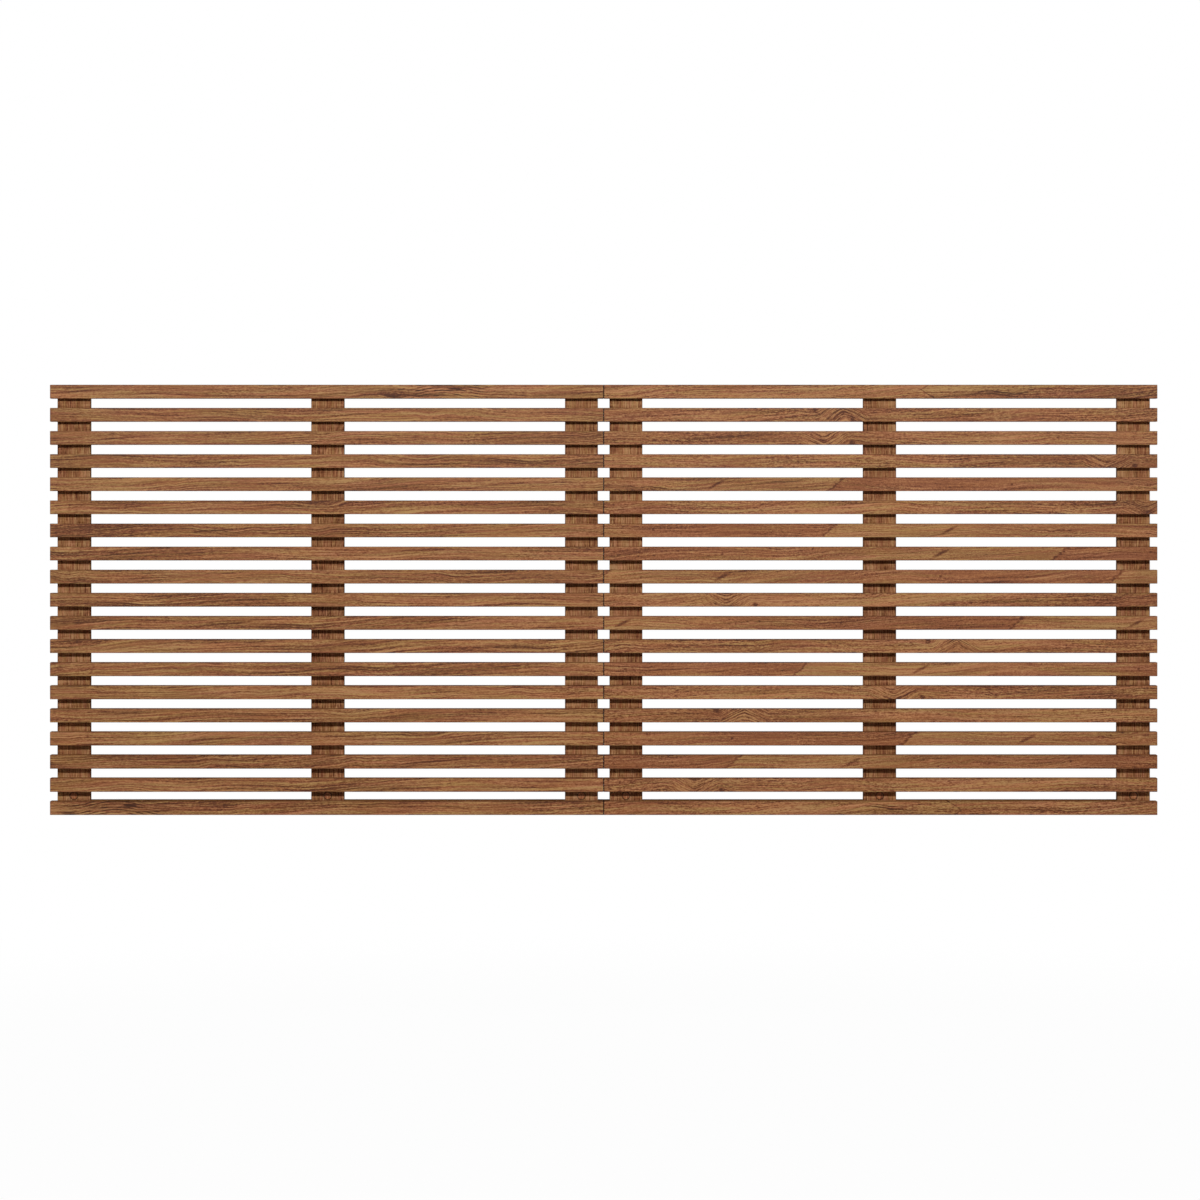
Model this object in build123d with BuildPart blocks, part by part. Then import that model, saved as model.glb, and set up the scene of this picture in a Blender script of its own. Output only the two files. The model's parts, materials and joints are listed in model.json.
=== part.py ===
from build123d import *
import os

# Slatted wall headboard in two equal panels, in millimetres.
# +X is to the right seen from the front, the front faces -Y and the wall lies at Y = 0.
# The origin is on the wall plane, midway between the panels, at the height of the lower wall screws,
# which is the middle of the lowest gap between slats.

# Slats
slat_count = 19
slat_length = 1005.0
slat_height = 25.0
slat_depth = 22.0
slat_gap = 17.0
slat_edge_radius = 0.9
slat_end_chamfer = 0.5

# The joining plates draw the two panels tight together, so that no light shows between their slat ends.
panel_joint_gap = 0.02

# Uprights; the slats run on past the outer and inner ones by the overhang
slat_overhang = 10.5
upright_width = 60.0
upright_thickness = 16.0
upright_end_inset = 1.0
upright_edge_radius = 1.2
upright_end_chamfer = 0.6

# Bottom rails between the uprights, as high as a slat, whose tops stand a little above the lowest one
rail_rise = 1.0
rail_end_clearance = 0.2
rail_edge_radius = 0.9
rail_screw_count = 3

# Pan head wood screws that hold each slat, driven from the back
screw_shank_radius = 1.9
screw_length = 28.0
screw_tip_length = 5.0
screw_head_radius = 3.9
screw_head_edge = 1.2
screw_head_height = 2.5
screw_hole_clearance = 0.25
screw_pilot_clearance = 0.05
screw_pilot_overrun = 1.0
screw_counterbore_clearance = 0.8
screw_counterbore_depth = 5.0
screw_recess_length = 4.2
screw_recess_width = 0.9
screw_recess_depth = 1.3

# Wall fixing holes in the lowest gap, each closed from the front by a low domed plug
wall_hole_radius = 2.75
plug_radius = 7.0
plug_clearance = 0.1
plug_length = 5.0
plug_rise = 0.7
plug_bore_depth = 9.0

# Countersunk wood screws that hold the steel plates
plate_screw_shank_radius = 1.7
plate_screw_length = 14.0
plate_screw_tip_length = 4.0
plate_screw_head_radius = 3.3
plate_screw_recess_length = 3.6
plate_screw_recess_width = 0.8
plate_screw_recess_depth = 1.2
plate_screw_pilot_clearance = 0.05
plate_screw_pilot_overrun = 0.5
plate_hole_clearance = 0.2
countersink_clearance = 0.1
countersink_angle = 90

# Keyhole hanger plates, let into the backs of the outer and inner uprights
slats_above_hangers_count = 2
hanger_plate_width = 44.0
hanger_plate_height = 22.0
hanger_plate_thickness = 2.0
hanger_plate_corner_radius = 4.0
hanger_recess_clearance = 0.2
hanger_screw_spacing = 34.0
keyhole_entry_radius = 4.75
keyhole_slot_radius = 2.5
keyhole_drop = 4.0
keyhole_rise = 4.5
hanger_pocket_width = 14.0
hanger_pocket_height = 20.0
hanger_pocket_corner_radius = 3.0
hanger_pocket_depth = 6.0

# Joining plates across the backs of the two inner uprights, less high than a slat by the margin
joining_plate_margin = 3.0
joining_plate_thickness = 2.0
joining_plate_corner_radius = 3.0
joining_recess_clearance = 0.2
joining_screw_end_distance = 8.0
joining_screw_edge_distance = 9.0
joining_screw_outset = 9.4

# Overrun of cuts that run out through a side
cut_overrun = 5.0

# Places worked out from the sizes above
slat_pitch = slat_height + slat_gap
slat_back_y = -upright_thickness
slat_centre_y = slat_back_y - slat_depth / 2
lowest_slat_z = -slat_gap / 2 - slat_height / 2
top_slat_z = lowest_slat_z + (slat_count - 1) * slat_pitch
bottom_z = lowest_slat_z - slat_height / 2
top_z = top_slat_z + slat_height / 2
panel_centre_x = (slat_length + panel_joint_gap) / 2
upright_spacing = (slat_length - upright_width) / 2 - slat_overhang
rail_height = slat_height
rail_top_z = lowest_slat_z + slat_height / 2 + rail_rise
rail_centre_z = rail_top_z - rail_height / 2
rail_length = upright_spacing - upright_width - 2 * rail_end_clearance

# Sides of the headboard, with the sign of X, and the uprights of a panel with their steps from its middle
sides = {"left": -1, "right": 1}
upright_steps = {"outer": 1, "middle": 0, "inner": -1}
hung_uprights = ("outer", "inner")


def slat_z(number):
    """Height of a slat's middle; slats are numbered from the top."""
    return lowest_slat_z + (slat_count - number) * slat_pitch


def upright_x(side, place):
    return sides[side] * (panel_centre_x + upright_steps[place] * upright_spacing)


def rail_x(side, place):
    """Middle of the bay between the middle upright and the outer or inner one."""
    return (upright_x(side, "middle") + upright_x(side, place)) / 2


def rail_screw_x(side, place):
    pitch = rail_length / rail_screw_count
    first = rail_x(side, place) - rail_length / 2 + pitch / 2
    return [first + step * pitch for step in range(rail_screw_count)]


def facing_wall(x, z, y=0.0):
    """Plane at this point whose normal points to the wall."""
    return Plane(origin=(x, y, z), x_dir=(1, 0, 0), z_dir=(0, 1, 0))


def facing_room(x, z, y):
    """Plane at this point whose normal points to the room."""
    return Plane(origin=(x, y, z), x_dir=(1, 0, 0), z_dir=(0, -1, 0))


def save(piece, name):
    piece.part.label = name
    export_step(piece.part, f"parts/{name}.step")


hanger_z = slat_z(slats_above_hangers_count) - slat_pitch / 2
inner_upright_x = upright_x("right", "inner")
joining_plate_reach = inner_upright_x + joining_screw_outset + joining_screw_end_distance
joining_plate_height = slat_height - joining_plate_margin
joining_plate_heights = {"upper": top_slat_z, "lower": rail_top_z - joining_plate_height / 2}


def hanger_screw_places(x):
    return [(x + end * hanger_screw_spacing / 2, hanger_z) for end in (-1, 1)]


def joining_screw_places(side, z):
    """Two screws into an inner upright, one by its edge and one outward of its slat screws."""
    near = inner_upright_x - upright_width / 2 + joining_screw_edge_distance
    far = inner_upright_x + joining_screw_outset
    return [(sides[side] * near, z), (sides[side] * far, z)]


def all_joining_screw_places(z):
    return joining_screw_places("left", z) + joining_screw_places("right", z)


def slat_screw_places(side):
    """Every slat screw of a panel: one at each crossing, and those of the bottom rails."""
    places = []
    for place in upright_steps:
        x = upright_x(side, place)
        places += [(x, slat_z(number)) for number in range(1, slat_count + 1)]
    for place in hung_uprights:
        places += [(x, lowest_slat_z) for x in rail_screw_x(side, place)]
    return places


def make_slat(side, number):
    """Slat with eased edges and blind pilot holes in its back."""
    z = slat_z(number)
    start_x = sides[side] * panel_centre_x - slat_length / 2
    pilots = [place for place in slat_screw_places(side) if place[1] == z]
    pilot_depth = screw_length - (upright_thickness - screw_counterbore_depth) + screw_pilot_overrun
    with BuildPart() as slat:
        with BuildSketch(Plane.YZ.offset(start_x)):
            with Locations((slat_centre_y, z)):
                RectangleRounded(slat_depth, slat_height, slat_edge_radius)
        extrude(amount=slat_length)
        chamfer(slat.faces().filter_by(Axis.X).edges(), slat_end_chamfer)
        with Locations(*[facing_wall(x, z, slat_back_y) for x, z in pilots]):
            Hole(screw_shank_radius + screw_pilot_clearance, pilot_depth)
    save(slat, f"{side}_slat_{number:02d}")


def cut_hanger_seat(x):
    """Recess for a hanger plate, with a pocket behind its keyhole for the wall screw's head."""
    with BuildSketch(facing_wall(x, hanger_z)) as recess:
        RectangleRounded(
            hanger_plate_width + 2 * hanger_recess_clearance,
            hanger_plate_height + 2 * hanger_recess_clearance,
            hanger_plate_corner_radius,
        )
    extrude(recess.sketch, amount=-hanger_plate_thickness, mode=Mode.SUBTRACT)
    with BuildSketch(facing_wall(x, hanger_z, -hanger_plate_thickness)) as pocket:
        RectangleRounded(hanger_pocket_width, hanger_pocket_height, hanger_pocket_corner_radius)
    extrude(pocket.sketch, amount=-hanger_pocket_depth, mode=Mode.SUBTRACT)


def cut_joining_seat(side, z):
    """Recess for a joining plate, open towards the other panel."""
    start = inner_upright_x - upright_width / 2 - cut_overrun
    end = joining_plate_reach + joining_recess_clearance
    with BuildSketch(facing_wall(sides[side] * (start + end) / 2, z)) as seat:
        Rectangle(end - start, joining_plate_height + 2 * joining_recess_clearance)
    extrude(seat.sketch, amount=-joining_plate_thickness, mode=Mode.SUBTRACT)


def plate_screw_pilots(places, plate_thickness):
    """Blind pilot holes under a steel plate, reached from the back."""
    depth = plate_screw_length - plate_thickness + plate_screw_pilot_overrun
    with Locations(*[facing_wall(x, z, -plate_thickness) for x, z in places]):
        Hole(plate_screw_shank_radius + plate_screw_pilot_clearance, depth)


def counterbored_slat_holes(places):
    """Clearance holes for slat screws, with counterbores in the back for their heads."""
    with Locations(*[facing_wall(x, z) for x, z in places]):
        CounterBoreHole(
            radius=screw_shank_radius + screw_hole_clearance,
            counter_bore_radius=screw_head_radius + screw_counterbore_clearance,
            counter_bore_depth=screw_counterbore_depth,
        )


def make_upright(side, place):
    """Flat upright, holed for slat screws and a plugged wall screw, and recessed for its plates."""
    x = upright_x(side, place)
    with BuildPart() as upright:
        with BuildSketch(Plane.XY.offset(bottom_z + upright_end_inset)):
            with Locations((x, -upright_thickness / 2)):
                RectangleRounded(upright_width, upright_thickness, upright_edge_radius)
        extrude(amount=top_z - bottom_z - 2 * upright_end_inset)
        chamfer(upright.faces().filter_by(Axis.Z).edges(), upright_end_chamfer)
        counterbored_slat_holes([(x, slat_z(number)) for number in range(1, slat_count + 1)])
        with Locations(facing_room(x, 0, -upright_thickness)):
            CounterBoreHole(
                radius=wall_hole_radius,
                counter_bore_radius=plug_radius + plug_clearance,
                counter_bore_depth=plug_bore_depth,
            )
        if place in hung_uprights:
            cut_hanger_seat(x)
            plate_screw_pilots(hanger_screw_places(x), hanger_plate_thickness)
        if place == "inner":
            for z in joining_plate_heights.values():
                cut_joining_seat(side, z)
                plate_screw_pilots(joining_screw_places(side, z), joining_plate_thickness)
    save(upright, f"{side}_{place}_upright")


def make_bottom_rail(side, place):
    """Rail that closes a bay behind the lowest slat."""
    x = rail_x(side, place)
    with BuildPart() as rail:
        with BuildSketch(Plane.YZ.offset(x - rail_length / 2)):
            with Locations((-upright_thickness / 2, rail_centre_z)):
                RectangleRounded(upright_thickness, rail_height, rail_edge_radius)
        extrude(amount=rail_length)
        counterbored_slat_holes([(spot, lowest_slat_z) for spot in rail_screw_x(side, place)])
    save(rail, f"{side}_{place}_bottom_rail")


def cut_cross_recess(height, length, width, depth):
    """Cross recess for a screwdriver, cut down from this height."""
    with BuildSketch(Plane.XY.offset(height)) as cross:
        Rectangle(length, width)
        Rectangle(width, length)
    extrude(cross.sketch, amount=-depth, mode=Mode.SUBTRACT)


def make_pan_head_screw():
    """Pan head wood screw standing on its point, with the underside of its head at Z = 0."""
    with BuildPart() as screw:
        with BuildSketch(Plane.XZ):
            with BuildLine():
                dome = TangentArc(
                    (0, screw_head_height), (screw_head_radius, screw_head_edge), tangent=(1, 0)
                )
                Polyline(
                    dome @ 1,
                    (screw_head_radius, 0),
                    (screw_shank_radius, 0),
                    (screw_shank_radius, screw_tip_length - screw_length),
                    (0, -screw_length),
                    dome @ 0,
                )
            make_face()
        revolve(axis=Axis.Z)
        cut_cross_recess(screw_head_height, screw_recess_length, screw_recess_width, screw_recess_depth)
    return screw.part


def make_countersunk_screw():
    """Countersunk wood screw standing on its point, with the flat of its head at Z = 0."""
    cone_depth = plate_screw_head_radius - plate_screw_shank_radius
    with BuildPart() as screw:
        with BuildSketch(Plane.XZ):
            with BuildLine():
                Polyline(
                    (0, 0),
                    (plate_screw_head_radius, 0),
                    (plate_screw_shank_radius, -cone_depth),
                    (plate_screw_shank_radius, plate_screw_tip_length - plate_screw_length),
                    (0, -plate_screw_length),
                    close=True,
                )
            make_face()
        revolve(axis=Axis.Z)
        cut_cross_recess(
            0, plate_screw_recess_length, plate_screw_recess_width, plate_screw_recess_depth
        )
    return screw.part


def place_screws(screw, places, y, name):
    """A set of alike screws, driven from the wall side."""
    with BuildPart() as screws:
        with Locations(*[facing_wall(x, z, y) for x, z in places]):
            add(screw)
    save(screws, name)


def make_plugs(side):
    """Low domed wooden plugs in the fronts of a panel's uprights."""
    with BuildPart() as plug:
        with BuildSketch(Plane.XZ):
            with BuildLine():
                dome = TangentArc((0, plug_rise), (plug_radius, 0), tangent=(1, 0))
                Polyline(dome @ 1, (plug_radius, -plug_length), (0, -plug_length), dome @ 0)
            make_face()
        revolve(axis=Axis.Z)
    places = [facing_room(upright_x(side, place), 0, -upright_thickness) for place in upright_steps]
    with BuildPart() as plugs:
        with Locations(*places):
            add(plug.part)
    save(plugs, f"{side}_screw_plugs")


def countersunk_plate_holes(places, thickness):
    with Locations(*[facing_wall(x, z) for x, z in places]):
        CounterSinkHole(
            radius=plate_screw_shank_radius + plate_hole_clearance,
            counter_sink_radius=plate_screw_head_radius + countersink_clearance,
            counter_sink_angle=countersink_angle,
            depth=thickness + cut_overrun,
        )


def make_hanger_plates(side):
    """Steel plates, each with a keyhole whose slot runs up from a round entry."""
    with BuildPart() as plates:
        for place in hung_uprights:
            x = upright_x(side, place)
            with BuildSketch(facing_wall(x, hanger_z)) as outline:
                RectangleRounded(
                    hanger_plate_width, hanger_plate_height, hanger_plate_corner_radius
                )
                # The slot's local Y runs down on a plane that faces the wall.
                with Locations((0, keyhole_drop)):
                    Circle(keyhole_entry_radius, mode=Mode.SUBTRACT)
                with Locations((0, -keyhole_rise)):
                    Circle(keyhole_slot_radius, mode=Mode.SUBTRACT)
                with Locations((0, (keyhole_drop - keyhole_rise) / 2)):
                    Rectangle(
                        2 * keyhole_slot_radius, keyhole_drop + keyhole_rise, mode=Mode.SUBTRACT
                    )
            extrude(amount=-hanger_plate_thickness)
            countersunk_plate_holes(hanger_screw_places(x), hanger_plate_thickness)
    save(plates, f"{side}_hanger_plates")


def make_joining_plate(level):
    z = joining_plate_heights[level]
    with BuildPart() as plate:
        with BuildSketch(facing_wall(0, z)):
            RectangleRounded(
                2 * joining_plate_reach, joining_plate_height, joining_plate_corner_radius
            )
        extrude(amount=-joining_plate_thickness)
        countersunk_plate_holes(all_joining_screw_places(z), joining_plate_thickness)
    save(plate, f"{level}_joining_plate")


os.makedirs("parts", exist_ok=True)

slat_screw = make_pan_head_screw()
plate_screw = make_countersunk_screw()

for side in sides:
    for number in range(1, slat_count + 1):
        make_slat(side, number)
    for place in upright_steps:
        make_upright(side, place)
    for place in hung_uprights:
        make_bottom_rail(side, place)
    make_plugs(side)
    make_hanger_plates(side)
    place_screws(
        slat_screw, slat_screw_places(side), -screw_counterbore_depth, f"{side}_slat_screws"
    )
    hanger_screws = []
    for place in hung_uprights:
        hanger_screws += hanger_screw_places(upright_x(side, place))
    place_screws(plate_screw, hanger_screws, 0, f"{side}_hanger_screws")

joining_screws = []
for level, z in joining_plate_heights.items():
    make_joining_plate(level)
    joining_screws += all_joining_screw_places(z)
place_screws(plate_screw, joining_screws, 0, "joining_screws")
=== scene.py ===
import json
from collections import namedtuple

import bpy
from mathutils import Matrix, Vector


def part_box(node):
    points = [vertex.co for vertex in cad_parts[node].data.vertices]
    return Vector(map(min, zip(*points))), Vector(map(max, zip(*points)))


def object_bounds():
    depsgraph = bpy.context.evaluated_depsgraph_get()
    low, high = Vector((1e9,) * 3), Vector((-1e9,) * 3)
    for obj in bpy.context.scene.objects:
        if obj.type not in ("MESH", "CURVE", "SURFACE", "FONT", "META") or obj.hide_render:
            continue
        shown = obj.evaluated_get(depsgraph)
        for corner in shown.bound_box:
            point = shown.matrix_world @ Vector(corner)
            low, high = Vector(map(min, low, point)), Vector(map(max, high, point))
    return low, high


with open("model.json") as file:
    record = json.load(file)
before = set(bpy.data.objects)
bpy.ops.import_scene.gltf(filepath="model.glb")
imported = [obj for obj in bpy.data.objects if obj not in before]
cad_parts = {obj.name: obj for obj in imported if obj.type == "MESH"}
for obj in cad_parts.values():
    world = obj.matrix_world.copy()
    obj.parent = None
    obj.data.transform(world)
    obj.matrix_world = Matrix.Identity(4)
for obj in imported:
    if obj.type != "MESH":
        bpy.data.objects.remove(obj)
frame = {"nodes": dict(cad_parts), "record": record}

cad_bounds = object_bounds()
middle = (cad_bounds[0] + cad_bounds[1]) / 2

# Slatted wall headboard of two panels, in metres. The front faces -Y and the wall lies at Y = 0.
# Shader distances are in millimetres, and colours are written as 0 to 255 display values.
MM = 1000.0

# Camera: level, in front of the slats, with the frame moved down and to the left by its shift
camera_distance = 7.1
camera_height = 0.531
frame_width = 2.1779
frame_centre_x = -0.0067
frame_centre_z = 0.3568
sensor_width_mm = 36.0

# Light: a long strip in front and above, a softer one behind, a weak narrow one level with each end, and a
# little from all round
strip_distance = 3.0
strip_rise = 0.6
strip_width = 5.0
strip_height = 0.22
strip_power = 93.0
rear_distance = 3.0
rear_height = 2.4
rear_power = 80.0
end_distance = 2.0
end_width = 0.03
end_height = 2.4
end_power = 30.0
room_light = 0.03

# Floor
floor_drop = 0.5
floor_size = 60.0
floor_grey = 190
floor_shown_white_share = 0.97
floor_fade_start_mm = 1200
floor_fade_end_mm = 2800

# Places of the pieces, read from the frame
slat_low, slat_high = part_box("right_slat_01")
next_slat_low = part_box("right_slat_02")[0]
upright_low, upright_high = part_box("right_inner_upright")
next_upright_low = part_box("right_middle_upright")[0]
rail_low, rail_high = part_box("right_inner_bottom_rail")
plug_low, plug_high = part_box("right_screw_plugs")
plug_radius = (plug_high.z - plug_low.z) / 2 * MM
slat_half_height = (slat_high.z - slat_low.z) / 2 * MM
slat_pitch = (slat_low.z - next_slat_low.z) * MM
upright_spacing = (next_upright_low.x - upright_low.x) * MM
upright_centre_x = (upright_low.x + upright_high.x) / 2 * MM
slat_count = sum(part["material_slot"] == "slat_wood" for part in frame["record"]["subparts"]) // 2


class Wire:
    """An output of a shader node. Sums and products of values add Math nodes."""

    def __init__(self, finish, socket):
        self.finish = finish
        self.socket = socket

    def output(self, name):
        """Another output of the same node."""
        return Wire(self.finish, self.socket.node.outputs[name])

    def math(self, operation, *values):
        return self.finish.node("ShaderNodeMath", {"operation": operation}, dict(enumerate(values)))

    def __add__(self, other):
        return self.math("ADD", self, other)

    def __radd__(self, other):
        return self.math("ADD", other, self)

    def __sub__(self, other):
        return self.math("SUBTRACT", self, other)

    def __rsub__(self, other):
        return self.math("SUBTRACT", other, self)

    def __mul__(self, other):
        return self.math("MULTIPLY", self, other)

    def __rmul__(self, other):
        return self.math("MULTIPLY", other, self)

    def __truediv__(self, other):
        return self.math("DIVIDE", self, other)

    def __pow__(self, power):
        return self.math("POWER", self, power)

    def __abs__(self):
        return self.math("ABSOLUTE", self)

    def floor(self):
        return self.math("FLOOR", self)

    def fraction(self):
        return self.math("FRACT", self)

    def least(self, other):
        return self.math("MINIMUM", self, other)

    def most(self, other):
        return self.math("MAXIMUM", self, other)

    def above(self, limit):
        return self.math("GREATER_THAN", self, limit)

    def rise(self, start, end):
        """0 up to the start, 1 from the end on, and smooth between them."""
        return self.finish.node(
            "ShaderNodeMapRange",
            {"interpolation_type": "SMOOTHSTEP"},
            {"Value": self, "From Min": start, "From Max": end},
        )

    def fall(self, start, end):
        """1 up to the start, 0 from the end on, and smooth between them."""
        return 1 - self.rise(start, end)

    def within(self, near, far):
        """1 up to the near distance from zero on either side, and 0 from the far one on."""
        return abs(self).fall(near, far)


class Finish:
    """A node material, or the world, in the making."""

    def __init__(self, name, kind="materials"):
        self.owner = getattr(bpy.data, kind).new(name)
        self.owner.use_nodes = True
        self.tree = self.owner.node_tree
        self.tree.nodes.clear()

    def node(self, kind, settings, sockets, output=0):
        """Adds a node of this type, with its settings first and then its sockets' values or links."""
        made = self.tree.nodes.new(kind)
        for name, value in settings.items():
            if name == "stops":
                set_stops(made.color_ramp, value)
            elif name == "interpolation":
                made.color_ramp.interpolation = value
            else:
                setattr(made, name, value)
        for name, value in sockets.items():
            if isinstance(value, Wire):
                self.tree.links.new(value.socket, made.inputs[name])
            else:
                made.inputs[name].default_value = value
        return Wire(self, made.outputs[output])

    def place(self):
        """X, Y and Z of the surface in millimetres."""
        spot = self.node("ShaderNodeTexCoord", {}, {}, "Object")
        parts = self.node("ShaderNodeSeparateXYZ", {}, {"Vector": spot})
        return [parts.output(axis) * MM for axis in "XYZ"]

    def point(self, x, y, z):
        return self.node("ShaderNodeCombineXYZ", {}, {"X": x, "Y": y, "Z": z})

    def noise(self, x, y, z, detail=2.0, roughness=0.5, distortion=0.0):
        """Smooth noise about zero, whose features are about one unit across."""
        settings = {"noise_dimensions": "3D", "normalize": True}
        sockets = {
            "Vector": self.point(x, y, z),
            "Scale": 1.0,
            "Detail": detail,
            "Roughness": roughness,
            "Distortion": distortion,
        }
        return self.node("ShaderNodeTexNoise", settings, sockets) - 0.5

    def threads(self, x, y, z, width):
        """1 along thin lines that wind through smooth noise, and 0 away from them."""
        return self.noise(x, y, z, 1.0).within(0, width)

    def luck(self, number):
        """Three chance values from 0 to 1 that belong to this number."""
        settings = {"noise_dimensions": "1D"}
        colour = self.node("ShaderNodeTexWhiteNoise", settings, {"W": number}, "Color")
        parts = self.node("ShaderNodeSeparateColor", {}, {"Color": colour})
        return [parts.output(name) for name in ("Red", "Green", "Blue")]

    def ramp(self, value, stops):
        return self.node("ShaderNodeValToRGB", {"stops": stops}, {"Fac": value})

    def mix(self, share, first, second):
        sockets = {0: share, 6: first, 7: second}
        return self.node("ShaderNodeMix", {"data_type": "RGBA"}, sockets, 2)

    def shade(self, colour, strength):
        """The colour made darker or lighter by a value."""
        sockets = {0: colour, "Scale": strength}
        return self.node("ShaderNodeVectorMath", {"operation": "SCALE"}, sockets)

    def tint(self, colour, other):
        """The product of two colours."""
        return self.node("ShaderNodeVectorMath", {"operation": "MULTIPLY"}, {0: colour, 1: other})

    def bump(self, height, distance, strength):
        return self.node(
            "ShaderNodeBump", {}, {"Height": height, "Distance": distance, "Strength": strength}
        )

    def principled(self, **sockets):
        """A Principled shader; underscores in the names stand for spaces."""
        named = {name.replace("_", " "): value for name, value in sockets.items()}
        return self.node("ShaderNodeBsdfPrincipled", {}, named)

    def cover(self, shader, output="ShaderNodeOutputMaterial"):
        """The material or world with this shader as its surface."""
        made = self.tree.nodes.new(output)
        self.tree.links.new(shader.socket, made.inputs["Surface"])
        return self.owner

    def shown_white(self, lit, white_kind, share):
        """The shader, mixed with plain white for what the camera, gloss and glass see."""
        camera = self.node("ShaderNodeLightPath", {}, {}, "Is Camera Ray")
        seen = camera.most(camera.output("Is Glossy Ray")).most(camera.output("Is Transmission Ray"))
        white = self.node(white_kind, {}, {"Color": (1, 1, 1, 1), "Strength": 1.0})
        return self.node("ShaderNodeMixShader", {}, {0: seen * share, 1: lit, 2: white})

    def narrow_face(self):
        """1 on tops, undersides, sides and ends, and 0 on the faces to the front and the wall."""
        normal = self.node("ShaderNodeNewGeometry", {}, {}, "True Normal")
        along_depth = self.node("ShaderNodeSeparateXYZ", {}, {"Vector": normal}).output("Y")
        return along_depth.within(0.3, 0.9)


def linear(red, green, blue):
    """Shader colour of a display colour."""
    def one(value):
        share = value / 255
        return share / 12.92 if share <= 0.04045 else ((share + 0.055) / 1.055) ** 2.4
    return (one(red), one(green), one(blue), 1.0)


def set_stops(ramp, stops):
    """Fills a colour ramp from (place, colour) pairs."""
    while len(ramp.elements) < len(stops):
        ramp.elements.new(1.0)
    for element, (place, colour) in zip(ramp.elements, stops):
        element.position = place
        element.color = colour


# Walnut: from the darkest lines of late wood to the palest fibres
walnut_tones = [
    (0.0, linear(82, 49, 30)),
    (0.18, linear(113, 71, 44)),
    (0.36, linear(132, 87, 56)),
    (0.5, linear(143, 98, 65)),
    (0.66, linear(158, 113, 76)),
    (1.0, linear(182, 139, 98)),
]
yellow_tint = (1.0, 1.0, 0.88, 1.0)
pink_tint = (1.0, 1.0, 1.1, 1.0)
slat_tints = ((1.02, 1.03, 0.81, 1.0), (1.11, 0.89, 0.83, 1.0))
upright_tints = ((1.0, 1.05, 1.0, 1.0), (1.06, 0.95, 1.02, 1.0))
# Painted shade: how much darker the wood is painted at its eased edges, where they turn away from the light
eased_edge_shade = 0.35

# Metals: their dark and their pale places
yellow_zinc_tones = (linear(128, 110, 72), linear(176, 158, 112))
bright_zinc_tones = (linear(108, 111, 115), linear(148, 150, 153))
bronze_tones = (linear(34, 24, 17), linear(66, 49, 35))

# Depths of the finest relief, in millimetres
pore_depth = 0.25
scratch_depth = 0.03
orange_peel_depth = 0.06

# How a kind of board was cut: its rings, how far their lines rise, lean, sway, swell and ripple, how
# strongly each kind of mark shows, and how long the short flecks are
Timber = namedtuple(
    "Timber",
    "ring_width rise lean sway hump ripple bands lines streaks late veins vein_share threads broad flecks"
    " fleck_length fine",
)
plain_timber = Timber(
    ring_width=4.0, rise=0.0, lean=0.04, sway=8, hump=0, ripple=0, bands=0.4, lines=0.8, streaks=1.4,
    late=0.16, veins=0.2, vein_share=0, threads=0.2, broad=1, flecks=1, fleck_length=13, fine=0,
)

# Where in the tree a board was cut: anywhere along the timber, with the pith beside and behind it, at
# these least distances and up to this much farther
timber_length = 4000
pith_beside = 45
pith_beside_spread = 90
pith_behind = 18
pith_behind_spread = 40

# Boards are numbered from here on, so that each piece comes from a board of its own
first_right_slat_board = 40
first_upright_board = 100
first_rail_board = 200
first_plug_board = 300

# Places of the figures in the slats: the slat, counted from the top, then the distance from the joint in
# millimetres, and 1 where the board was turned end for end. Long lines, wedges and wild patches are on
# the left panel, and the others on the right one.
long_lines = {
    1: (960, 0), 2: (460, 0), 3: (878, 0), 5: (179, 0), 6: (874, 0), 7: (705, 0), 8: (865, 0), 10: (832, 0),
    11: (678, 0), 13: (511, 0), 14: (304, 0), 15: (825, 0), 16: (704, 0), 17: (315, 0), 18: (479, 0),
}
wedges = {
    3: (511, 0), 4: (330, 0), 6: (515, 0), 9: (727, 1), 14: (878, 0), 15: (460, 0), 16: (324, 0),
    17: (684, 1), 18: (860, 1),
}
fans = {
    2: (434, 1), 3: (400, 0), 4: (913, 0), 6: (985, 0), 10: (224, 0), 12: (640, 1), 14: (527, 0),
    15: (255, 1), 18: (164, 0),
}
slants = {
    5: (422, 1), 7: (409, 0), 8: (828, 1), 9: (930, 0), 11: (750, 0), 13: (358, 0), 16: (552, 0),
    17: (235, 0),
}
wild_patches = {1: (315, 0), 19: (905, 0)}
arches = {1: (670, 1), 19: (556, 0)}

# A slat without the figure gets a place off the boards, and the colours of a ramp hold the places from
# there on, over this range
no_place = -120
place_range = 1200

# Ovals in the figures: how far along and above the figure's place each lies, and its half length and
# half height
upper_blot = (46, 5, 15, 3.4)
lower_blot = (-67, -9, 16, 2.6)
fan_oval = (0, -slat_half_height, 44, 60)
fan_core_oval = (6, -11, 20, 9)
round_knot_oval = (51, -slat_half_height, 26, 20)
knot_oval = (51, -8.5, 5.2, 3.6)
knot_heart_oval = (53, -7.5, 1.9, 1.4)
smudge_oval = (217, 0, 18, 3.8)
speck_oval = (-319, 1, 3, 2.6)

# Slanting streaks: how far apart they come again, how steep they and their smudges are, and how far the
# tangle lies from midway between two
slant_repeat = 932
slant_slope = 0.86
smudge_slope = 0.5
tangle_offset = 70


def edge_distance(first, second, third):
    """How far a point on a box lies from the nearest edge: the middle one of its three face distances."""
    return first.least(second).most(first.most(second).least(third))


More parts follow.
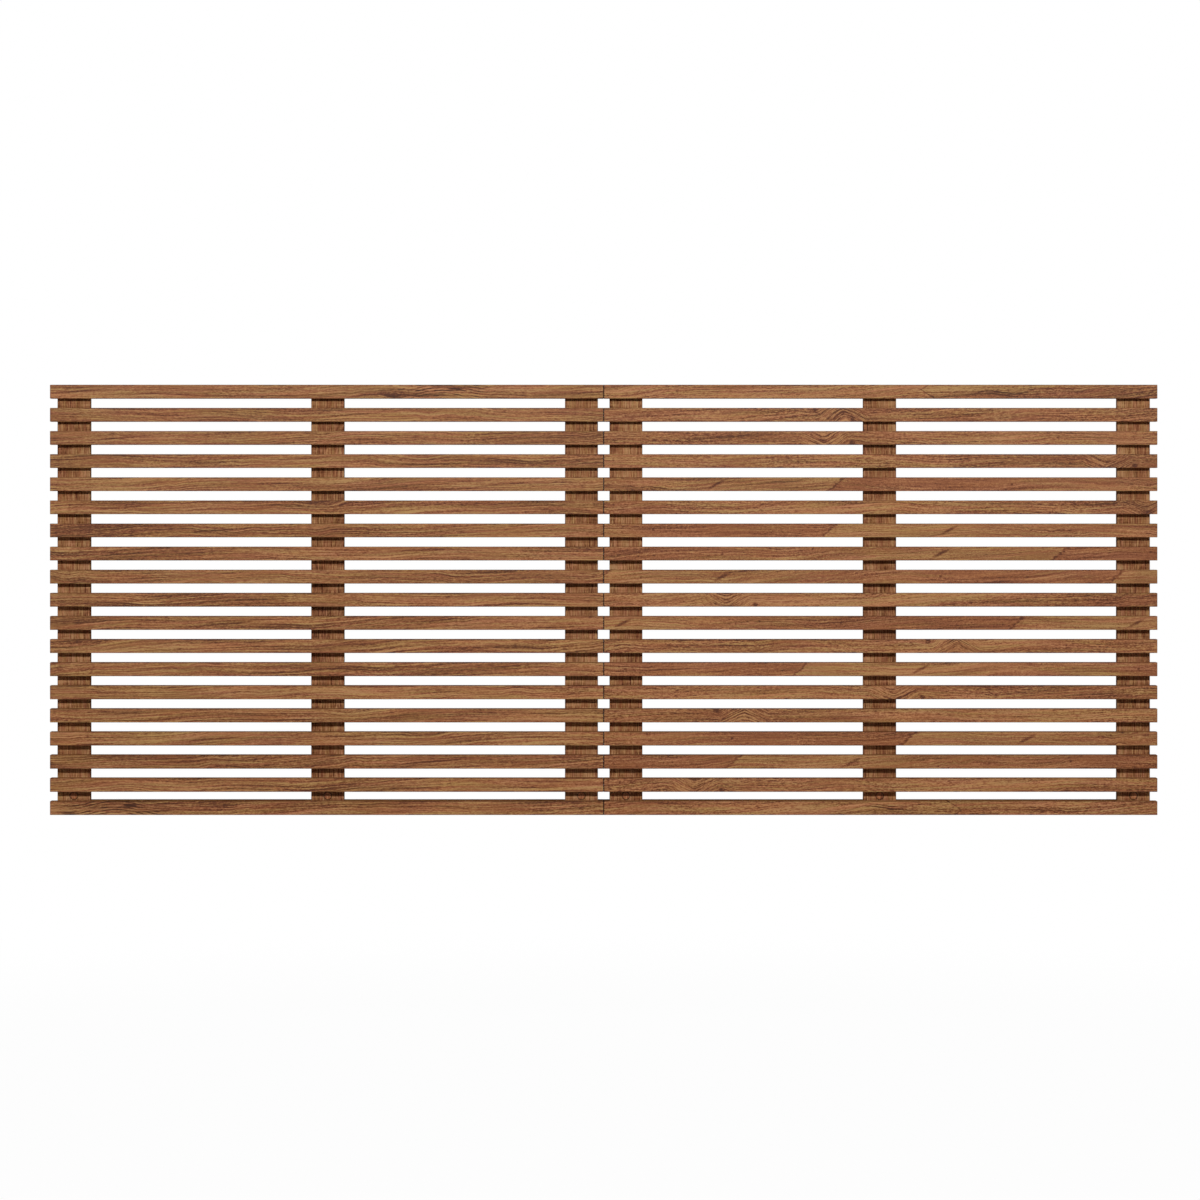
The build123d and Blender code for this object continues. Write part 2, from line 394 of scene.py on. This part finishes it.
def walnut(finish, along, across, depth, board, timber, lift=0.0, darkness=0.0):
    """Tone, redness, pores and fibres of a board whose grain runs along the first direction.

    Each kind of mark is noise, stretched to the lengths in millimetres, or shares of a ring, that its
    places are divided or multiplied by.
    """
    stretch, side, turn = finish.luck(board)
    cast, slope, width = finish.luck(board + 0.37)
    run = along + stretch * timber_length
    slow = finish.noise(run / 320, across / 80, depth / 80, 1.0)
    quick = finish.noise(run / 75, across / 20, depth / 20, 2.0)
    swell = finish.noise(run / 85, board * 7.3, 0.0, 1.0)
    hump = swell.rise(0.1, 0.32) - (0 - swell).rise(0.1, 0.32)
    bent = across - lift - (timber.rise + (slope - 0.5) * timber.lean) * along
    bent = bent + timber.sway * (slow + 0.18 * quick) + timber.hump * hump
    bent = bent + timber.ripple * finish.noise(run / 20, across / 7, depth / 7, 1.0)
    beside = bent + pith_beside + side * pith_beside_spread
    behind = depth + pith_behind + turn * pith_behind_spread
    radius = (beside * beside + behind * behind) ** 0.5
    rings = radius / (timber.ring_width * (0.7 + 0.6 * width)) + slow * 1.5
    number = rings.floor()
    strength = finish.luck(number + board * 61)[0]
    phase = rings.fraction()
    late = phase.rise(0.35, 0.9) * phase.fall(0.92, 1.0) * (0.15 + 0.85 * strength ** 2)
    bands = finish.noise(run / 420, rings * 0.55, depth / 90, 1.0)
    lines = finish.noise(run / 240, rings * 1.2 + 30, depth / 60, 1.0)
    streaks = finish.noise(run / 120, rings * 2.6, depth / 60, 3.0, 0.6)
    flecks = finish.noise(run / timber.fleck_length, bent / 2.2, depth / 2.2, 2.0, 0.6)
    pores = finish.noise(run / timber.fleck_length * 2.6, bent / 1.8, depth / 1.8, 2.0, 0.6)
    fine = finish.noise(run / 70, bent / 1.2, depth / 3, 1.0)
    broad = finish.noise(run / 420, bent / 34, depth / 34, 2.0)
    drift = finish.noise(run / 900, bent / 60, depth / 60, 1.0)
    vein = finish.noise(run / 150, rings * 0.7 + 40, depth / 90, 2.0, 0.5) + timber.vein_share
    vigour = 0.88 + 1.9 * finish.noise(run / 110, across / 30, depth / 30, 1.0)
    fade = finish.noise(run / 110, bent / 9, depth / 30, 1.0)
    dark_threads = finish.threads(run / 170, rings * 1.5 + 120, depth / 60, 0.045) * fade.rise(-0.12, 0.12)
    pale_threads = finish.threads(run / 140, rings * 1.5 + 160, depth / 60, 0.04) * fade.rise(-0.1, 0.14)
    hue = finish.noise(run / 140, rings * 0.8 + 80, depth / 60, 3.0, 0.6)
    tone = (
        0.56
        + timber.bands * bands
        + vigour * (timber.lines * lines + timber.streaks * streaks + timber.fine * fine)
        + vigour * timber.flecks * (1.2 * flecks + 1.1 * pores)
        + timber.threads * (pale_threads - dark_threads)
        + timber.broad * (0.6 * broad + 0.7 * drift)
        + (cast - 0.5) * 0.06
        - timber.late * late
        - timber.veins * vein.rise(0.15, 0.3)
        - darkness * (1 + 3 * streaks)
    )
    redness = 0.5 + 4.4 * hue + 0.7 * broad + (cast - 0.5) * 0.05 + 0.7 * (0.54 - tone)
    return tone, redness, pores.rise(0.1, 0.3), flecks


def by_slat(finish, number, first, second):
    """Places and turns of two kinds of figure, from a ramp with a stop for each slat from the top."""
    stops = []
    for slat in range(1, slat_count + 1):
        one = first.get(slat, (no_place, 0))
        other = second.get(slat, (no_place, 0))
        shares = [(place - no_place) / place_range for place, turned in (one, other)]
        stops.append(((slat - 1) / slat_count, (shares[0], one[1], shares[1], other[1])))
    settings = {"stops": stops, "interpolation": "CONSTANT"}
    found = finish.node("ShaderNodeValToRGB", settings, {"Fac": (number - 0.5) / slat_count})
    parts = finish.node("ShaderNodeSeparateColor", {}, {"Color": found})
    places = [parts.output(name) * place_range + no_place for name in ("Red", "Blue")]
    turns = [1 - 2 * parts.output("Green"), 1 - 2 * found.output("Alpha")]
    return places, turns


def oval(along, above, place, height, half_length, half_height):
    """Distance from the middle of an oval, 1 on its rim."""
    return (((along - place) / half_length) ** 2 + ((above - height) / half_height) ** 2) ** 0.5


def arch(along, half_length, height):
    """Height of a smooth arch over a stretch, and zero past its ends."""
    return height * (1 - (along / half_length).least(1).most(-1) ** 2) ** 2


def long_line(along, across):
    """Darkness of a dark line that rises across the slat, with a pale line below it."""
    slope = 0.07
    pale_line_drop = 3.6
    above = across - slope * along
    reach = along.within(20, 62)
    dark = 0.42 * reach * above.within(0.4, 2.4)
    pale = 0.16 * reach * (above + pale_line_drop).within(0.4, 2.6)
    return dark - pale


def edge_wedge(along, above):
    """Dip of the grain and darkness of a wedge that hangs from the slat's upper edge."""
    half_length = 50
    depth = 5.5
    dip = arch(along, half_length, depth)
    from_edge = slat_half_height - above
    wedge = (from_edge - dip).fall(-1.0, 0.6)
    rim = (from_edge - dip).within(0.5, 2.4)
    inside = dip.rise(0.2, 2.0)
    return dip * from_edge.fall(5, 20), inside * (0.07 * wedge + 0.16 * rim)


def left_figures(finish, x, across, number):
    """Lift of the grain and darkness, from long rising lines and from wedges along an edge."""
    (line_place, wedge_place), (_, turn) = by_slat(finish, number, long_lines, wedges)
    dip, wedge_dark = edge_wedge(turn * (x + wedge_place), turn * across)
    return 0 - turn * dip, long_line(x + line_place, across) + wedge_dark


def wild_figure(finish, x, across, step, place):
    """Share of wild grain, and dark blots in arched stripes between two dark ovals."""
    arch_offset = 20
    arch_half_length = 85
    arch_height = 14
    arch_foot = -9
    stripe_spacing = 5
    along = x + place
    from_arch = along - arch_offset
    over = across - arch(from_arch, arch_half_length, arch_height) - arch_foot
    from_stripe = (over / stripe_spacing).fraction() - 0.5
    stripes = from_arch.within(45, 130) * from_stripe.within(0.04, 0.3)
    gate = finish.noise(x / 28, across / 6, step * 3.1, 1.0).rise(-0.12, 0.14)
    blots = (
        stripes * (0.2 + 1.1 * gate)
        + 0.9 * oval(along, across, *upper_blot).fall(0.4, 1.2)
        + 0.8 * oval(along, across, *lower_blot).fall(0.4, 1.2)
    )
    return along.within(60, 170), blots * (1 - 0.8 * finish.narrow_face())


def fan_figure(along, above):
    """Lift, darkness and share of a fan of arched lines, with a dark core and a knot at one end."""
    fan = (1 - oval(along, above, *fan_oval)).most(0)
    round_knot = (1 - oval(along, above, *round_knot_oval)).most(0)
    core = oval(along, above, *fan_core_oval).fall(0.2, 1.0)
    knot = oval(along, above, *knot_oval).fall(0.5, 1.3)
    heart = oval(along, above, *knot_heart_oval).fall(0.3, 1.1)
    return 7 * round_knot - 21 * fan, 0.28 * core + 0.75 * knot - 0.6 * heart, fan


def slant_figure(finish, x, across, number, place, turn):
    """Lift, darkness, gold and tangle of a slanting streak, brown before it and golden after it.

    A smudge and a speck lie away from it, the grain is tangled between two streaks, and all of this comes
    again along the slat. Also whether the slat has such streaks.
    """
    present = place.above(0)
    repeats = (x - place) / slant_repeat * turn + 0.5
    along = (repeats.fraction() - 0.5) * slant_repeat
    above = turn * across
    ragged = 18 * finish.noise(x / 15, across / 5, number, 1.0)
    beside = along - above / slant_slope + ragged
    streak = beside.within(0.5, 5)
    gold = beside.rise(-1, 5) * beside.fall(140, 440)
    brown = beside.fall(-5, 1) * beside.rise(-400, -260)
    smudge_rise = smudge_slope * (along - smudge_oval[0])
    smudge = oval(along, above - smudge_rise, *smudge_oval).fall(0.2, 1.2)
    speck = oval(along, above, *speck_oval).fall(0.5, 1.2)
    tangle = (slant_repeat / 2 - abs(along + tangle_offset)).fall(20, 110)
    lift = 4 * beside.rise(-25, 15) * beside.fall(15, 190)
    dark = 0.42 * streak + 0.6 * smudge + 0.45 * speck - 0.09 * gold + 0.11 * brown
    return present * lift, present * dark, 0.3 * present * (gold - brown), present * tangle, present


def arched_figure(along, above):
    """Darkness and gold of a golden patch that ends in a point, with wavy dark lines over it."""
    line_height = 5.2
    line_slope = 0.082
    second_line_rise = 4.2
    point_place = 94
    point_height = -3.5
    point_slope = 1.6
    wave = 5.5 * (along + 80).within(0, 35) - 4.5 * (along + 24).within(0, 32)
    over = above - line_height - line_slope * along - wave
    past = along - point_place + point_slope * abs(above - point_height)
    knotty = (along + 48).within(12, 45)
    inside = along.rise(-170, -120) * past.fall(-3, 2)
    line = (0.25 + 0.3 * knotty) * over.within(0.3, 1.9)
    second_line = 0.4 * knotty * (over - second_line_rise).within(0.3, 1.8)
    point = 0.35 * past.within(0.5, 2.8)
    gold = inside * over.fall(-1.5, 0.5)
    return inside * (line + second_line) + point - 0.08 * gold, gold


def wood_surface(
    finish, place, tone, redness, pore, fibres, edge, roughness, specular, gain,
    tints=slat_tints, gloom=0.0, rim=eased_edge_shade,
):
    """Oiled walnut with painted shade along its eased edges and the darkening given as gloom, and matt on
    its narrow faces.
    """
    tone = tone - 0.1 * pore
    colour = finish.tint(finish.ramp(tone, walnut_tones), finish.mix(redness, *tints))
    # Painted shade towards the eased edges, by rim; gloom holds painted shade and, on the slats, the wood's
    # own dark figure
    shade = gain * (1 - rim * edge.fall(0.2, 1.5)) * (1 - gloom)
    along, across, depth = place
    cool = 0.5 + 1.8 * finish.noise(tone * 0.5 + along / 90, across / 12, depth / 12, 2.0)
    colour = finish.tint(finish.shade(colour, shade), finish.mix(cool, yellow_tint, pink_tint))
    sockets = {
        "Base_Color": colour,
        "Roughness": roughness + 0.12 * fibres + 0.1 * pore,
        "Normal": finish.bump(0.6 * fibres - 0.5 * pore, pore_depth / MM, 0.5),
    }
    rubbed = finish.principled(Specular_IOR_Level=specular, **sockets)
    matt = finish.principled(Specular_IOR_Level=0.0, **sockets)
    return finish.cover(
        finish.node("ShaderNodeMixShader", {}, {0: finish.narrow_face(), 1: rubbed, 2: matt})
    )


def slat_finish():
    """Satin walnut of the slats, each cut from another stretch of timber."""
    finish = Finish("slat_walnut")
    x, y, z = finish.place()
    centre = (slat_low + slat_high) / 2 * MM
    half = (slat_high - slat_low) / 2 * MM
    step = (z / slat_pitch).floor()
    number = slat_count - 1 - step
    across = z - (step + 0.5) * slat_pitch
    right = x.above(0)
    left = 1 - right
    edge = edge_distance(
        half.x - abs(abs(x) - centre.x), half.y - abs(y - centre.y), half.z - abs(across)
    )
    left_lift, left_dark = left_figures(finish, x, across, number)
    (fan_place, slant_place), (fan_turn, slant_turn) = by_slat(finish, number, fans, slants)
    fan_lift, fan_dark, fan = fan_figure(fan_turn * (x - fan_place), fan_turn * across)
    in_fan = right * (3 * fan).least(1)
    slant_lift, slant_dark, slant_gold, tangle, slanting = slant_figure(
        finish, x, across, number, slant_place, slant_turn
    )
    slanting = right * slanting
    (wild_place, arch_place), (_, arch_turn) = by_slat(finish, number, wild_patches, arches)
    arch_dark, arch_gold = arched_figure(arch_turn * (x - arch_place), arch_turn * across)
    wild, blots = wild_figure(finish, x, across, step, wild_place)
    wild = left * wild
    blots = left * blots
    timber = Timber(
        ring_width=4.4 - 1.0 * right,
        rise=0.02 + 0.015 * right,
        lean=0.06,
        sway=26 + 6 * right + 30 * wild,
        hump=4 - 2 * right,
        ripple=6 * wild + right * (1.4 + 7.6 * tangle) + 1.2 * slanting,
        bands=0.4 - 0.1 * right - 0.15 * in_fan - 0.1 * slanting,
        lines=1.0 - 0.3 * right - 0.55 * in_fan,
        streaks=2.15 - 1.15 * in_fan - 0.4 * slanting + 0.5 * wild,
        late=0.34 - 0.14 * right - 0.12 * in_fan,
        veins=0.22 - 0.17 * right + 0.15 * wild,
        vein_share=0.12 * wild,
        threads=0.3 - 0.12 * right - 0.14 * in_fan,
        broad=1 + 0.25 * right - 0.75 * slanting,
        flecks=1.15 + 0.4 * right - 0.55 * slanting,
        fleck_length=11.5 - 1.0 * right - 3.5 * slanting,
        fine=right * (0.9 + 4 * fan),
    )
    lift = right * (fan_turn * fan_lift + slant_lift) + left * left_lift
    dark = right * (fan_dark + slant_dark + arch_dark) + left * left_dark + 0.55 * blots
    tone, redness, pore, fibres = walnut(
        finish, x, across, y - centre.y, step + first_right_slat_board * right, timber, lift, dark
    )
    redness = 0.5 + (redness - 0.5) * (1 - 0.6 * in_fan)
    redness = redness + right * (0.2 - slant_gold - 0.5 * arch_gold) - 0.5 * blots
    # Painted shade: a dark line on the slat ends at the joint of the two panels, where the butt joint lies
    # in shadow
    joint_painted_shade = 0.85 * x.within(0.5, 1.7)
    # Darkening of the slats: that painted shade at the joint, together with the wood's own dark blots and
    # arched figure
    darkening = joint_painted_shade.most(0.4 * blots.least(1)).most(0.65 * right * arch_dark)
    return wood_surface(
        finish, (x, z, y), tone, redness, pore, fibres, edge,
        roughness=0.5, specular=0.15, gain=1.0, gloom=darkening,
    )


def across_upright(x):
    """Distance from the middle line of the nearest upright, and a number for that upright."""
    steps = (abs(x) - upright_centre_x) / upright_spacing + 0.5
    return (steps.fraction() - 0.5) * upright_spacing, steps.floor() + 10 * x.above(0)


def upright_finish():
    """Walnut of the uprights, sawn across and left a little rougher, with painted shade in a ring around
    the plugs and on the narrow faces.
    """
    finish = Finish("upright_walnut")
    x, y, z = finish.place()
    centre = (upright_low + upright_high) / 2 * MM
    half = (upright_high - upright_low) / 2 * MM
    across, number = across_upright(x)
    edge = edge_distance(
        half.x - abs(across), half.y - abs(y - centre.y), half.z - abs(z - centre.z)
    )
    timber = plain_timber._replace(
        ring_width=3.6, lean=0.1, sway=10, hump=1, lines=0.5, streaks=1.3, late=0.14, veins=0.05,
        threads=0.1, flecks=0.8,
    )
    tone, redness, pore, fibres = walnut(
        finish, z, across, y - centre.y, number + first_upright_board, timber
    )
    saw_marks = finish.noise(z / 5, across / 70, y / 8, 2.0, 0.6)
    lines = finish.noise(z / 30, across / 1.5, y / 2.4, 1.0)
    tone = tone + 1.2 * saw_marks + 1.2 * lines
    from_plug = (across * across + z * z) ** 0.5 - plug_radius
    # Painted shade: a dark ring around each plug, where the gap around it lies in shadow
    plug_ring_painted_shade = 0.6 * (from_plug - 0.4).within(0.3, 1.2)
    # Painted shade on the tops, sides and ends of the uprights, which turn away from the front light
    darkening = plug_ring_painted_shade.most(0.45 * finish.narrow_face())
    return wood_surface(
        finish, (z, across, y), tone, redness, pore, fibres, edge,
        roughness=0.62, specular=0.05, gain=1.13, tints=upright_tints, gloom=darkening,
    )


def rail_finish():
    """Walnut of the bottom rails, darkened as painted shade for their shadowed ledge above the lowest slat.
    """
    finish = Finish("rail_walnut")
    x, y, z = finish.place()
    centre = (rail_low + rail_high) / 2 * MM
    half = (rail_high - rail_low) / 2 * MM
    number = (x / centre.x / 2).floor()
    across = z - centre.z
    edge = half.z - abs(across)
    tone, redness, pore, fibres = walnut(
        finish, x, across, y - centre.y, number + first_rail_board, plain_timber
    )
    # gain=0.7 paints the rail darker than the uprights' walnut: painted shade for its ledge in shadow
    return wood_surface(
        finish, (x, z, y), tone, redness, pore, fibres, edge, roughness=0.65, specular=0.05, gain=0.7
    )


def plug_finish():
    """Walnut plugs, turned from side grain, each with painted shade along its rim for the shadow of the gap
    around it.
    """
    finish = Finish("plug_walnut")
    x, y, z = finish.place()
    across, number = across_upright(x)
    edge = plug_radius - (across * across + z * z) ** 0.5
    timber = plain_timber._replace(ring_width=3.0, lean=0.02, sway=4, veins=0.1, threads=0.1)
    tone, redness, pore, fibres = walnut(finish, z, across, y, number + first_plug_board, timber)
    # rim=0.8 paints a strong shade along the plug's edge, for the shadow of the gap around it
    return wood_surface(
        finish, (z, across, y), tone, redness + 0.8, pore, fibres, edge,
        roughness=0.5, specular=0.2, gain=1.15, rim=0.8,
    )


def zinc_finish(name, tones, roughness):
    """Zinc plated steel, faintly mottled, with fine scratches."""
    finish = Finish(name)
    x, y, z = finish.place()
    mottle = finish.noise(x / 3.0, y / 3.0, z / 3.0, 3.0, 0.6)
    scratches = finish.noise(x / 9, y / 0.5, z / 0.16, 2.0, 0.6)
    share = 0.5 + 1.4 * mottle + 0.7 * scratches
    return finish.cover(finish.principled(
        Base_Color=finish.mix(share, *tones),
        Metallic=1.0,
        Roughness=roughness + 0.3 * mottle + 0.25 * scratches,
        Normal=finish.bump(0.4 * mottle + scratches, scratch_depth / MM, 0.4),
    ))


def bronze_finish():
    """Dark bronze paint with a fine orange peel, rubbed brighter here and there."""
    finish = Finish("dark_bronze_paint")
    x, y, z = finish.place()
    peel = finish.noise(x / 0.7, y / 0.7, z / 0.7, 2.0)
    rub = finish.noise(x / 7, y / 7, z / 3, 4.0, 0.65)
    return finish.cover(finish.principled(
        Base_Color=finish.mix(0.5 + 1.6 * rub, *bronze_tones),
        Roughness=0.5 + 0.4 * rub,
        Specular_IOR_Level=0.2,
        Normal=finish.bump(peel, orange_peel_depth / MM, 0.5),
    ))


def make_floor():
    """Pale floor below the headboard, shown almost white but keeping its shadow."""
    bpy.ops.mesh.primitive_plane_add(
        size=floor_size, location=(0, 0, cad_bounds[0].z - floor_drop)
    )
    floor = bpy.context.object
    floor.name = "floor"
    finish = Finish("pale_floor")
    x, y, z = finish.place()
    far = ((x * x + y * y) ** 0.5).rise(floor_fade_start_mm, floor_fade_end_mm)
    share = floor_shown_white_share + (1 - floor_shown_white_share) * far
    grey = linear(floor_grey, floor_grey, floor_grey)
    paint = finish.principled(Base_Color=grey, Roughness=0.8, Specular_IOR_Level=0.2)
    floor.data.materials.append(finish.cover(finish.shown_white(paint, "ShaderNodeEmission", share)))


def make_world():
    """Weak light from all round, which the camera sees as white."""
    finish = Finish("studio", "worlds")
    ambient = finish.node("ShaderNodeBackground", {}, {"Color": (1, 1, 1, 1), "Strength": room_light})
    shown = finish.shown_white(ambient, "ShaderNodeBackground", 1.0)
    bpy.context.scene.world = finish.cover(shown, "ShaderNodeOutputWorld")


def make_lamp(name, place, width, height, power):
    """Lamp aimed at the middle of the headboard and hidden from the camera."""
    lamp = bpy.data.lights.new(name, "AREA")
    lamp.shape = "RECTANGLE"
    lamp.size = width
    lamp.size_y = height
    lamp.energy = power
    holder = bpy.data.objects.new(name, lamp)
    holder.location = place
    aim = middle - holder.location
    holder.rotation_euler = aim.to_track_quat("-Z", "Y").to_euler()
    holder.visible_camera = False
    bpy.context.collection.objects.link(holder)


def make_camera():
    """The photograph's view: level, with the frame shifted instead of tilted."""
    lens = bpy.data.cameras.new("camera")
    lens.sensor_width = sensor_width_mm
    lens.lens = sensor_width_mm * camera_distance / frame_width
    lens.shift_x = frame_centre_x / frame_width
    lens.shift_y = (frame_centre_z - camera_height) / frame_width
    camera = bpy.data.objects.new("camera", lens)
    camera.location = (0, cad_bounds[0].y - camera_distance, camera_height)
    camera.rotation_euler = Vector((0, 1, 0)).to_track_quat("-Z", "Y").to_euler()
    bpy.context.collection.objects.link(camera)
    bpy.context.scene.camera = camera


def dress(finishes):
    """Gives every CAD node the finish of the record's material slot that it uses."""
    slots = {part["node"]: part["material_slot"] for part in frame["record"]["subparts"]}
    for name, piece in frame["nodes"].items():
        piece.data.materials.clear()
        piece.data.materials.append(finishes[slots[name]])


bpy.context.scene.view_settings.view_transform = "Standard"
make_camera()
make_world()
strip_place = (0, cad_bounds[0].y - strip_distance, cad_bounds[1].z + strip_rise)
make_lamp("front_strip", strip_place, strip_width, strip_height, strip_power)
rear_place = (0, cad_bounds[1].y + rear_distance, middle.z)
make_lamp("rear_light", rear_place, strip_width, rear_height, rear_power)
for name, x in (
    ("left_end_light", cad_bounds[0].x - end_distance),
    ("right_end_light", cad_bounds[1].x + end_distance),
):
    make_lamp(name, (x, middle.y, middle.z), end_width, end_height, end_power)
make_floor()
dress({
    "slat_wood": slat_finish(),
    "upright_wood": upright_finish(),
    "rail_wood": rail_finish(),
    "plug_wood": plug_finish(),
    "screw_steel": zinc_finish("yellow_zinc", yellow_zinc_tones, roughness=0.45),
    "hanger_steel": zinc_finish("bright_zinc", bright_zinc_tones, roughness=0.5),
    "joining_steel": bronze_finish(),
})
